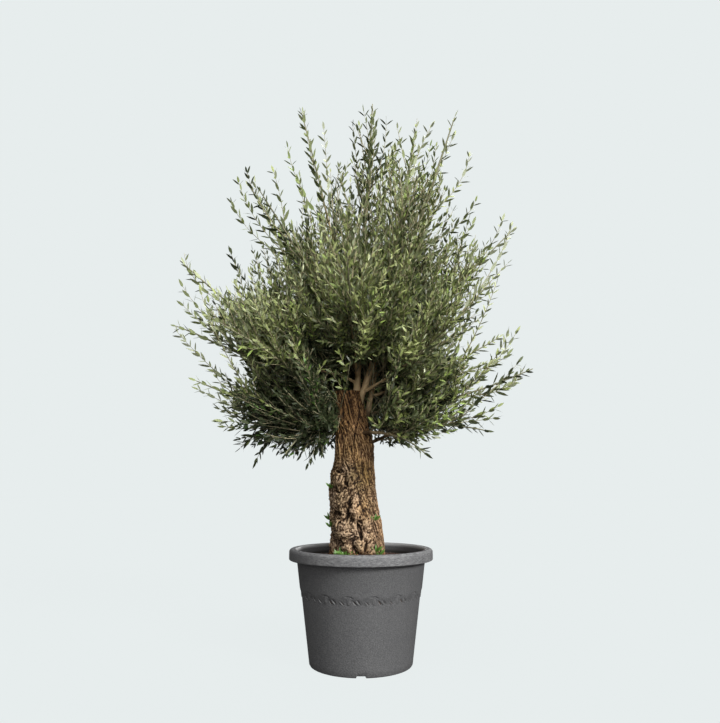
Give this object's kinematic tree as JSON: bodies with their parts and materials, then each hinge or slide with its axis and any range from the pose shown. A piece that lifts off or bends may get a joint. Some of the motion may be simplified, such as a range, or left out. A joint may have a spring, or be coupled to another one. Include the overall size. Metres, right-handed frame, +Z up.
{
  "type": "olive bonsai tree in a round planter",
  "caption": "Old gnarled olive trunk with a regrown rounded crown of fine leafy shoots, planted in a round tapered pot with a moulded rim.",
  "frame": {"origin": "centre of the flat underside of the pot, on the pot's axis", "axes": "+Z up along the pot's axis, -Y towards the viewer of the picture, +X to the viewer's right"},
  "size_m": [1.5974, 1.4403, 2.5301],
  "materials": {
    "grey_plastic": "slightly granular grey plastic",
    "potting_soil": "dark damp potting soil with bark mulch",
    "olive_bark": "rough fissured olive bark",
    "olive_leaves": "grey-green leathery leaves, paler beneath"
  },
  "bodies": {
    "root": {"bough_back_left_bottom": "olive_bark", "bough_back_left_middle": "olive_bark", "bough_back_left_upper": "olive_bark", "bough_back_middle": "olive_bark", "bough_back_right_bottom": "olive_bark", "bough_back_right_middle": "olive_bark", "bough_back_right_upper": "olive_bark", "bough_back_top": "olive_bark", "bough_crest": "olive_bark", "bough_front_left_bottom": "olive_bark", "bough_front_left_middle": "olive_bark", "bough_front_left_upper": "olive_bark", "bough_front_middle": "olive_bark", "bough_front_right_bottom": "olive_bark", "bough_front_right_middle": "olive_bark", "bough_front_right_upper": "olive_bark", "bough_left_bottom": "olive_bark", "bough_left_low": "olive_bark", "bough_left_middle": "olive_bark", "bough_left_spike": "olive_bark", "bough_right_bottom": "olive_bark", "bough_right_low": "olive_bark", "bough_right_middle": "olive_bark", "bough_right_spike": "olive_bark", "bough_top_left": "olive_bark", "bough_top_right": "olive_bark", "bough_upper_left": "olive_bark", "bough_upper_right": "olive_bark", "foliage_back_left_bottom": "olive_leaves", "foliage_back_left_middle": "olive_leaves", "foliage_back_left_upper": "olive_leaves", "foliage_back_middle": "olive_leaves", "foliage_back_right_bottom": "olive_leaves", "foliage_back_right_middle": "olive_leaves", "foliage_back_right_upper": "olive_leaves", "foliage_back_top": "olive_leaves", "foliage_crest": "olive_leaves", "foliage_front_left_bottom": "olive_leaves", "foliage_front_left_middle": "olive_leaves", "foliage_front_left_upper": "olive_leaves", "foliage_front_middle": "olive_leaves", "foliage_front_right_bottom": "olive_leaves", "foliage_front_right_middle": "olive_leaves", "foliage_front_right_upper": "olive_leaves", "foliage_left_bottom": "olive_leaves", "foliage_left_low": "olive_leaves", "foliage_left_middle": "olive_leaves", "foliage_left_spike": "olive_leaves", "foliage_right_bottom": "olive_leaves", "foliage_right_low": "olive_leaves", "foliage_right_middle": "olive_leaves", "foliage_right_spike": "olive_leaves", "foliage_top_left": "olive_leaves", "foliage_top_right": "olive_leaves", "foliage_upper_left": "olive_leaves", "foliage_upper_right": "olive_leaves", "pot": "grey_plastic", "root_ball": "potting_soil", "trunk": "olive_bark"}
  },
  "joints": []
}
